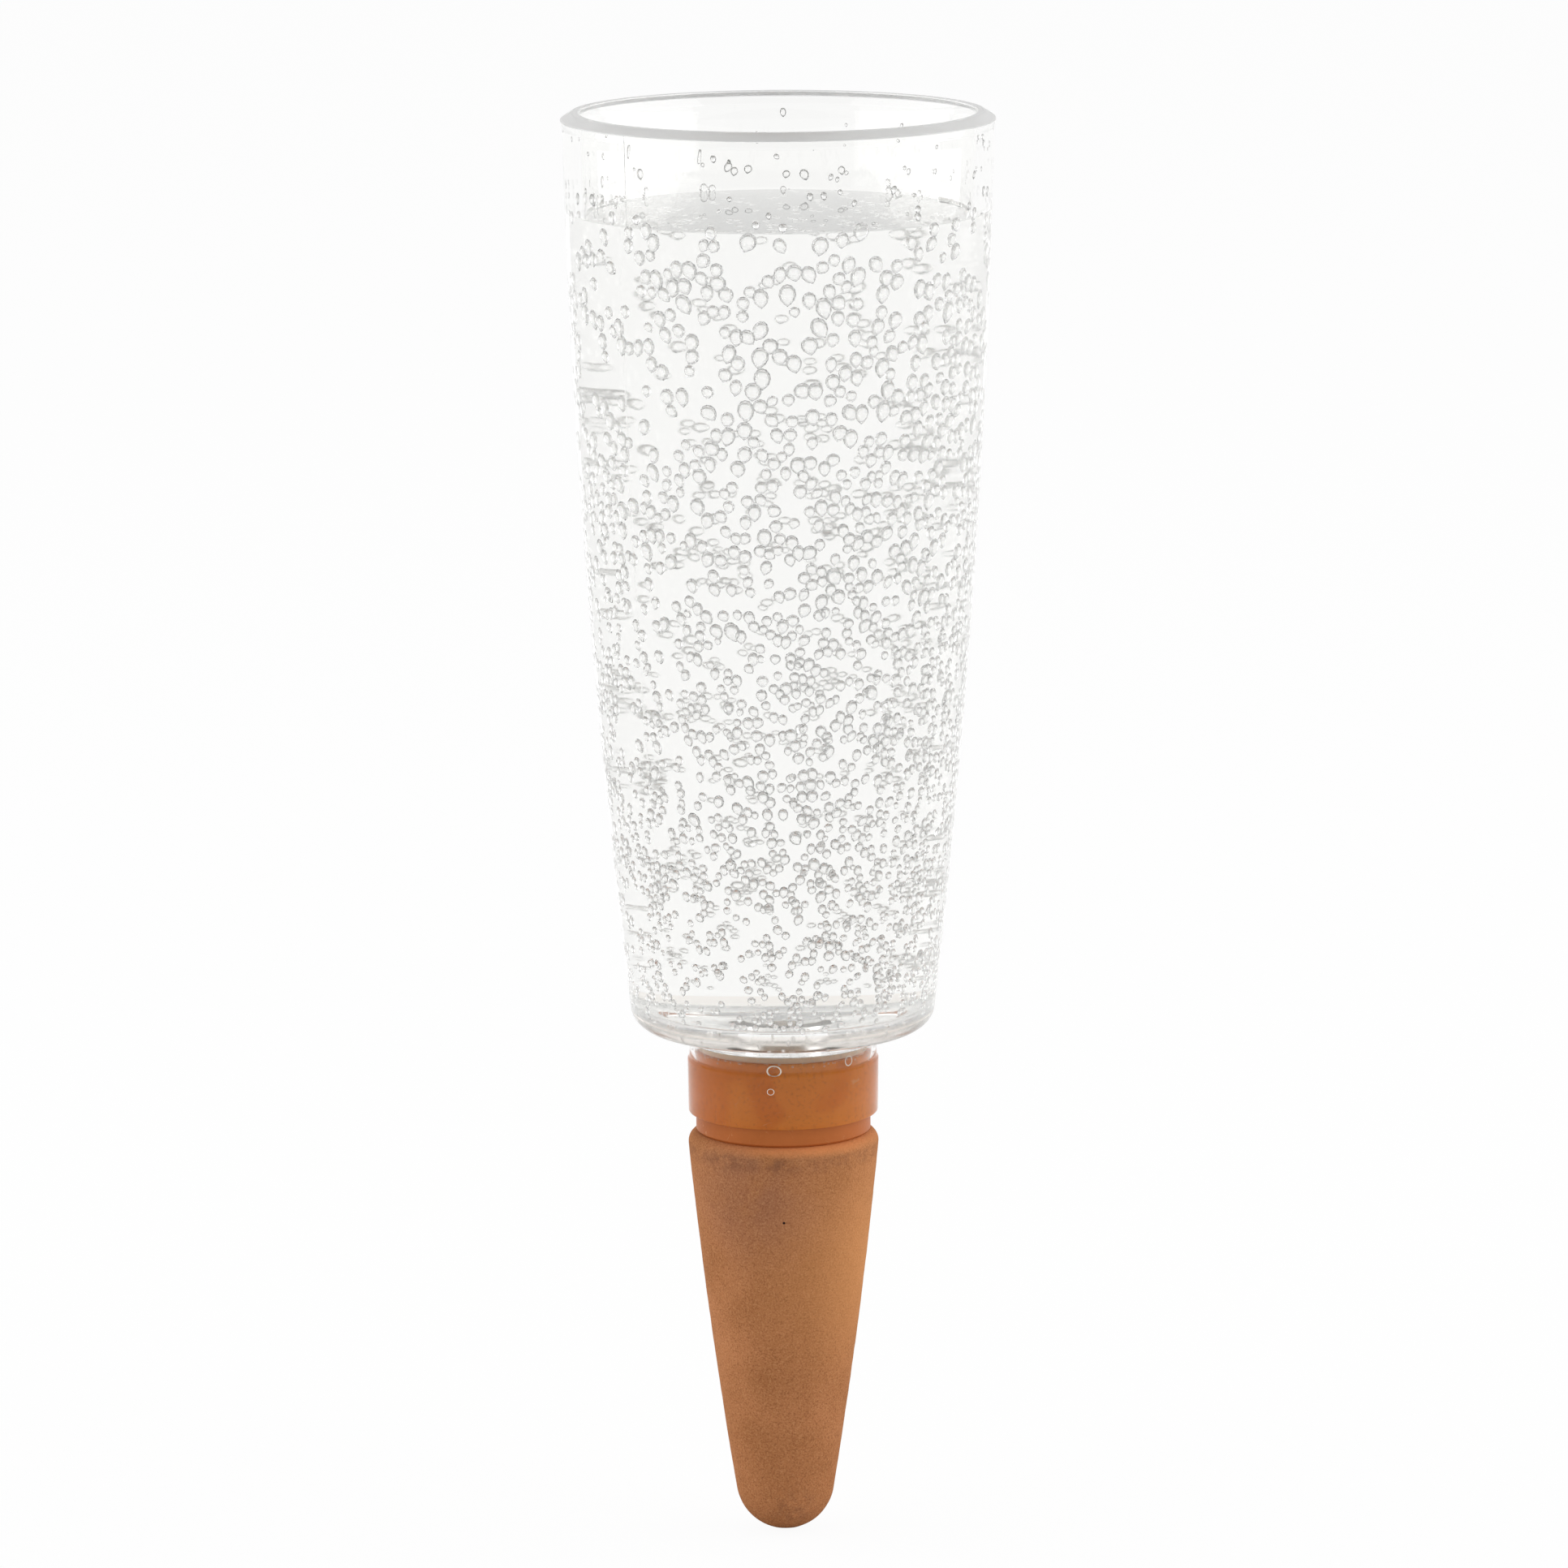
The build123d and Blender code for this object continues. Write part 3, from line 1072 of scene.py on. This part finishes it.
class SPIKE_OT_bubbles(bpy.types.Operator):
    """Sets the air bubbles into the wall, the floor, the neck and the sleeve of the cup"""

    bl_idname = "spike.bubbles"
    bl_label = "Air bubbles"

    def execute(self, context):
        looks = context.scene.spike_looks
        # Painted shade: grey rings round the bubbles, faint in the wall, fainter in its upper part and
        # strong above the water
        grey = bubble_skin("bubble_skin", looks.outline, 0.05)
        light = bubble_skin("bubble_skin_light", looks.outline, 0.035)
        dark = bubble_skin("bubble_skin_dark", looks.outline, 0.3)
        # Painted highlight: the neck's bubbles get a pale ring
        pale = bubble_skin("bubble_skin_pale", NECK_BUBBLE_PAINTED_HIGHLIGHT, 1.0, ior=1 / 1.05, start=0.2, fade=0.0)
        bubbles = Bubbles(BUBBLE_SEED)
        bubbles.scatter(looks.bubble_count, looks.bubble_scale)
        for count, heights, widths, depths in LONE_BUBBLES:
            bubbles.sprinkle(count, heights, widths, depths, looks.bubble_scale)
        dry_z = RIM_Z - looks.water_depth / MM + DRY_ABOVE_WATER
        bands = (
            ("rim_bubbles", dark, DROP, DROP_SIDES, dry_z, RIM_Z),
            ("wall_bubbles_upper", light, DROP, DROP_SIDES, UPPER_BUBBLES_Z, dry_z),
            ("wall_bubbles_middle", grey, DROP, DROP_SIDES, LOWER_BUBBLES_Z, UPPER_BUBBLES_Z),
            ("wall_bubbles_lower", grey, BEAD, BEAD_SIDES, BASE_Z, LOWER_BUBBLES_Z),
        )
        for name, skin, outline, sides, low, high in bands:
            band = [bubble for bubble in bubbles.placed if low < bubble.height <= high]
            self.build(name, skin, bubble_template(outline, sides), self.in_wall(band))
        self.build("base_bubbles", grey, bubble_template(BEAD, BEAD_SIDES), self.in_base(bubbles.random))
        self.build("neck_bubbles", pale, bubble_template(BEAD, BEAD_SIDES), self.in_neck(bubbles.random))
        edge = bubble_edge_painted_highlight(SLEEVE_BUBBLE_PAINTED_HIGHLIGHT)
        self.build("sleeve_bubbles", edge, bubble_template(RING, RING_SIDES), self.on_sleeve())
        return {"FINISHED"}

    def build(self, name, material, template, places):
        """One piece from copies of a bubble."""
        bm = bmesh.new()
        for matrix in places:
            set_in(bm, template, matrix)
        template.free()
        finish_piece(bm, name, [material], "reservoir")

    def in_wall(self, placed):
        """Places of bubbles in the cup's wall."""
        for bubble in placed:
            matrix = wall_frame(bubble.angle, bubble.height, bubble.depth, outer_wall)
            matrix = matrix @ Matrix.Rotation(bubble.lean, 4, "Y") @ Matrix.Rotation(-bubble.tilt, 4, "X")
            yield matrix @ Matrix.Diagonal((bubble.width, bubble.thickness, bubble.length, 1.0))

    def in_base(self, rnd):
        """Places of small bubbles in the thick floor."""
        for _ in range(BASE_BUBBLES):
            width = rnd.uniform(*BASE_BUBBLE_WIDTHS)
            radius = math.sqrt(rnd.uniform(BASE_BUBBLE_INNER**2, BASE_BUBBLE_OUTER**2))
            height = rnd.uniform(BASE_Z + BASE_BUBBLE_SKIN, FLOOR_Z - BASE_BUBBLE_SKIN)
            turn = Matrix.Rotation(rnd.uniform(-math.pi, math.pi), 4, "Z")
            yield turn @ Matrix.Translation((radius, 0, height)) @ Matrix.Scale(width, 4)

    def in_neck(self, rnd):
        """Places of fine bubbles in the neck's root."""
        for _ in range(NECK_BUBBLES):
            width = rnd.uniform(*NECK_BUBBLE_WIDTHS)
            height = rnd.uniform(*NECK_BUBBLE_HEIGHTS)
            angle = rnd.uniform(-math.pi, math.pi)
            matrix = wall_frame(angle, height, rnd.uniform(*NECK_BUBBLE_DEPTHS), neck_wall)
            yield matrix @ Matrix.Diagonal((width * 1.3, width, width, 1.0))

    def on_sleeve(self):
        """Places of the rings of bubbles that lie open in the skin of the sleeve; the rings are painted
        highlights.
        """
        for angle, height, width, length in SLEEVE_BUBBLES:
            matrix = wall_frame(math.radians(angle), height, 0.0, neck_wall)
            upright = Matrix.Rotation(math.pi / 2, 4, "X")
            yield matrix @ Matrix.Diagonal((width, RING_DEPTH, length, 1.0)) @ upright


class SPIKE_OT_water(bpy.types.Operator):
    """Fills the cup with water, drawn up a little at the wall"""

    bl_idname = "spike.water"
    bl_label = "Water"

    def execute(self, context):
        looks = context.scene.spike_looks
        level = RIM_Z - looks.water_depth / MM
        top = level + MENISCUS_RISE
        edge = inner_wall(top)[0] - WATER_GAP
        floor_radius = CUP_BASE_RADIUS - CUP_WALL - WATER_GAP
        bm = bmesh.new()
        section = Section(bm, 0.0, level)
        section.line(edge - MENISCUS_WIDTH, level)
        section.bow(edge - MENISCUS_LIP_WIDTH, top - MENISCUS_LIP_HEIGHT, MENISCUS_BOW, steps=8)
        section.line(edge, top)
        wall_bow = CUP_BOW * ((top - FLOOR_Z) / (RIM_Z - FLOOR_Z)) ** 2
        section.bow(floor_radius, FLOOR_Z + WATER_GAP, wall_bow, INNER_WALL_STEPS, *FLOOR_EDGE)
        section.line(OUTLET_RADIUS - WATER_GAP, FLOOR_Z + WATER_GAP, *SOFT_EDGE)
        section.line(OUTLET_RADIUS - WATER_GAP, WATER_END_Z)
        section.line(0.0, WATER_END_Z)
        section.spin()
        for face in bm.faces:
            centre = face.calc_center_median()
            if centre.z < WATER_END_Z + 0.01:
                face.material_index = AT_NOSE
            else:
                face.material_index = SURFACE if face.normal.z > 0.99 else AT_WALL
        sharpen(bm, degrees=40)
        finish_piece(
            bm,
            "water",
            [
                clear_plastic("water", WATER_TINT, WATER_IOR),
                clear_plastic("water_against_wall", CLEAR, NO_BEND),
                # Painted reflection: the water's end over the nose is a pale peach matt skin, standing in
                # for the orange adapter reflected there
                painted_light_plastic("water_over_nose_painted_reflection", WATER_END_PAINTED_REFLECTION),
            ],
            "reservoir",
        )
        return {"FINISHED"}


def thread_ridge(material):
    """The screw ridge in the adapter: its section is spun up the axis and its ends are closed."""
    steps = int(THREAD_STEPS * THREAD_TURNS)
    bm = bmesh.new()
    chain = Section(bm, THREAD_ROOT, THREAD_START_Z - THREAD_ROOT_HALF)
    chain.line(THREAD_CREST, THREAD_START_Z - THREAD_CREST_HALF)
    chain.line(THREAD_CREST, THREAD_START_Z + THREAD_CREST_HALF)
    chain.line(THREAD_ROOT, THREAD_START_Z + THREAD_ROOT_HALF)
    chain.close()
    first = bm.edges[:]
    bmesh.ops.contextual_create(bm, geom=first)
    last = bmesh.ops.spin(
        bm,
        geom=first,
        cent=(0, 0, 0),
        axis=(0, 0, 1),
        dvec=(0, 0, THREAD_PITCH / THREAD_STEPS),
        angle=2 * math.pi * steps / THREAD_STEPS,
        steps=steps,
    )["geom_last"]
    bmesh.ops.contextual_create(bm, geom=[g for g in last if isinstance(g, bmesh.types.BMEdge)])
    bmesh.ops.recalc_face_normals(bm, faces=bm.faces)
    sharpen(bm)
    finish_piece(bm, "adapter_thread", [material], "spike")


class SPIKE_OT_fittings(bpy.types.Operator):
    """Finishes the adapter, its thread, the seal washer and the cement"""

    bl_idname = "spike.fittings"
    bl_label = "Adapter and seal"

    def execute(self, context):
        looks = context.scene.spike_looks
        orange = orange_plastic(looks.orange)
        finishes = {
            "cone_adapter": orange,
            "seal_washer": soft_seal(looks.seal),
            "adhesive_ring": set_cement(looks.cement),
        }
        for node, material in finishes.items():
            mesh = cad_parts[node].data
            mesh.materials.clear()
            mesh.materials.append(material)
        thread_ridge(orange)
        return {"FINISHED"}


class SPIKE_OT_clay_cone(bpy.types.Operator):
    """Builds the fired clay cone with its slightly uneven skin"""

    bl_idname = "spike.clay_cone"
    bl_label = "Clay cone"

    def execute(self, context):
        looks = context.scene.spike_looks
        slope = math.radians(90 - CONE_TIP_SLOPE)
        tip_z = CONE_TIP_RADIUS - CONE_LENGTH
        cavity_tip = CONE_TIP_RADIUS - CONE_WALL
        bm = bmesh.new()
        section = Section(bm, 0.0, -CONE_LENGTH)
        section.arc(0.0, tip_z, -slope, steps=22)
        lean = math.radians(CONE_TOP_SLOPE)
        reach = CONE_SHOULDER / math.tan((math.pi / 2 - lean) / 2)
        side_radius = CONE_TOP_RADIUS - reach * math.sin(lean)
        section.bow(side_radius, -reach * math.cos(lean), -CONE_SIDE_BOW, steps=106)
        section.arc(CONE_TOP_RADIUS - reach, -CONE_SHOULDER, -math.pi / 2 - lean, steps=12)
        section.line(SOCKET_RADIUS, 0.0, *SOCKET_EDGE)
        section.line(SOCKET_RADIUS, -SOCKET_DEPTH)
        section.line(CAVITY_TOP_RADIUS, -SOCKET_DEPTH)
        turn = math.radians(CONE_TIP_SLOPE)
        cavity_z = tip_z - cavity_tip * math.sin(turn)
        section.bow(cavity_tip * math.cos(turn), cavity_z, CAVITY_SIDE_BOW, steps=20)
        section.arc(0.0, tip_z, slope, steps=10)
        section.spin()
        self.roughen(bm)
        sharpen(bm, degrees=40)
        finish_piece(bm, "clay_cone_fired", [fired_clay(looks.clay)], "spike", "clay_cone")
        return {"FINISHED"}

    def roughen(self, bm):
        """Presses the outer skin in by a few hundredths, unevenly."""
        bm.normal_update()
        moves = []
        for vert in bm.verts:
            outwards = vert.normal.x * vert.co.x + vert.normal.y * vert.co.y
            if outwards <= 0.0:
                continue
            share = min(1.0, -vert.co.z / DENT_FADE)
            wide = WIDE_DENT * noise.noise(vert.co * WIDE_WAVE)
            small = SMALL_DENT * noise.noise(vert.co * SMALL_WAVE)
            moves.append((vert, vert.normal * share * (wide + small - DEEPEST_DENT)))
        for vert, move in moves:
            vert.co += move


class SPIKE_OT_stage(bpy.types.Operator):
    """Sets the pale floor, the soft studio light and the camera"""

    bl_idname = "spike.stage"
    bl_label = "Studio"

    def execute(self, context):
        studio = context.scene.spike_studio
        self.add_floor(studio)
        self.light_world(context.scene, studio)
        self.add_lamp("soft_lamp_left", LEFT_LAMP, studio.lamp_power)
        self.add_lamp("soft_lamp_right", RIGHT_LAMP, studio.lamp_power * RIGHT_LAMP_SHARE)
        self.add_camera(context.scene, studio)
        context.scene.view_settings.view_transform = "Standard"
        cycles = context.scene.cycles
        cycles.max_bounces = 48
        cycles.transmission_bounces = 48
        cycles.glossy_bounces = 32
        cycles.transparent_max_bounces = 64
        return {"FINISHED"}

    def add_floor(self, studio):
        """A pale floor that shows white, with the object's soft shadow on it. Round the object it is painted
        darker for rays that pass through the clear parts or reflect off them: a painted shade pool that the
        camera doesn't see directly.
        """
        bm = bmesh.new()
        bmesh.ops.create_grid(bm, x_segments=1, y_segments=1, size=FLOOR_HALF)
        bmesh.ops.translate(bm, vec=(0, 0, CAD_BOX[0].z), verts=bm.verts)
        mesh = bpy.data.meshes.new("floor")
        bm.to_mesh(mesh)
        bm.free()
        floor = bpy.data.objects.new("floor", mesh)
        bpy.context.scene.collection.objects.link(floor)
        material, shade = new_material("floor_paper")
        path = shade.node("ShaderNodeLightPath")
        camera = Value(shade, path.outputs["Is Camera Ray"])
        glossy = Value(shade, path.outputs["Is Glossy Ray"])
        passing = Value(shade, path.outputs["Is Transmission Ray"])
        seen = shade.math("MAXIMUM", camera, shade.math("MAXIMUM", glossy, passing))
        # Painted shade: the floor dims near the object for all but camera rays
        pool = 1 - shade.step(shade.reach(shade.place()), POOL_INNER, POOL_OUTER)
        strength = 1 - pool * POOL_SHADE * (1 - camera)
        glow = shade.value("ShaderNodeEmission", sockets={"Strength": strength})
        paper = shade.value("ShaderNodeBsdfDiffuse", sockets={"Color": rgba(studio.floor)})
        shade.output(shade.mix(seen * FLOOR_GLOW, paper, glow))
        mesh.materials.append(material)

    def light_world(self, scene, studio):
        """White walls that turn grey overhead and towards the camera; the camera sees white."""
        world = bpy.data.worlds.new("studio")
        world.use_nodes = True
        scene.world = world
        shade = Shade(world.node_tree)
        way = shade.value("ShaderNodeTexCoord", output="Generated")
        rise = shade.axis(way, "Z")
        path = shade.node("ShaderNodeLightPath")
        camera = Value(shade, path.outputs["Is Camera Ray"])
        above = 1 - shade.step(rise, 0.55, 0.8) * (1 - studio.overhead)
        front = 1 - shade.step(shade.axis(way, "Y"), 0.45, -0.7) * (1 - studio.front)
        strength = shade.math("MAXIMUM", camera, above * front)
        sky = shade.value("ShaderNodeBackground", sockets={"Color": WHITE, "Strength": strength})
        shade.node("ShaderNodeOutputWorld", sockets={"Surface": sky})

    def add_lamp(self, name, place, power):
        """A large soft lamp aimed at the cup."""
        light = bpy.data.lights.new(name, "AREA")
        light.energy = power
        light.size = LAMP_SIZE
        lamp = bpy.data.objects.new(name, light)
        lamp.location = place
        lamp.rotation_euler = (Vector(LAMP_AIM) - lamp.location).to_track_quat("-Z", "Y").to_euler()
        lamp.visible_glossy = False
        bpy.context.scene.collection.objects.link(lamp)

    def add_camera(self, scene, studio):
        """The photograph's viewpoint: a long lens a little above the rim, looking down."""
        data = bpy.data.cameras.new("camera")
        data.lens = studio.lens
        data.sensor_width = 36.0
        data.clip_start = 0.05
        data.clip_end = 50.0
        camera = bpy.data.objects.new("camera", data)
        tilt = Matrix.Rotation(math.radians(90 - CAMERA_DIP), 4, "X")
        roll = Matrix.Rotation(math.radians(CAMERA_ROLL), 4, "Z")
        camera.matrix_world = Matrix.Translation(CAMERA_PLACE) @ tilt @ roll
        scene.collection.objects.link(camera)
        scene.camera = camera


class SPIKE_PT_panel(bpy.types.Panel):
    """Lists the pieces and their looks"""

    bl_label = "Self watering spike"
    bl_idname = "SPIKE_PT_panel"
    bl_space_type = "VIEW_3D"
    bl_region_type = "UI"
    bl_category = "Spike"

    def draw(self, context):
        for operator in OPERATORS:
            self.layout.operator(operator.bl_idname)
        for group in (context.scene.spike_looks, context.scene.spike_studio):
            for name in group.__annotations__:
                self.layout.prop(group, name)


OPERATORS = (
    SPIKE_OT_clay_cone,
    SPIKE_OT_fittings,
    SPIKE_OT_reservoir,
    SPIKE_OT_bubbles,
    SPIKE_OT_water,
    SPIKE_OT_stage,
)
CLASSES = (SpikeLooks, SpikeStudio, *OPERATORS, SPIKE_PT_panel)


def register():
    """Registers the classes and hangs the settings on the scene."""
    for cls in CLASSES:
        bpy.utils.register_class(cls)
    bpy.types.Scene.spike_looks = bpy.props.PointerProperty(type=SpikeLooks)
    bpy.types.Scene.spike_studio = bpy.props.PointerProperty(type=SpikeStudio)


def unregister():
    """Takes the settings and classes away again."""
    del bpy.types.Scene.spike_studio
    del bpy.types.Scene.spike_looks
    for cls in reversed(CLASSES):
        bpy.utils.unregister_class(cls)


def main():
    """Builds every piece and the studio."""
    register()
    bpy.ops.spike.clay_cone()
    bpy.ops.spike.fittings()
    bpy.ops.spike.reservoir()
    bpy.ops.spike.bubbles()
    bpy.ops.spike.water()
    bpy.ops.spike.stage()


if __name__ == "__main__":
    main()
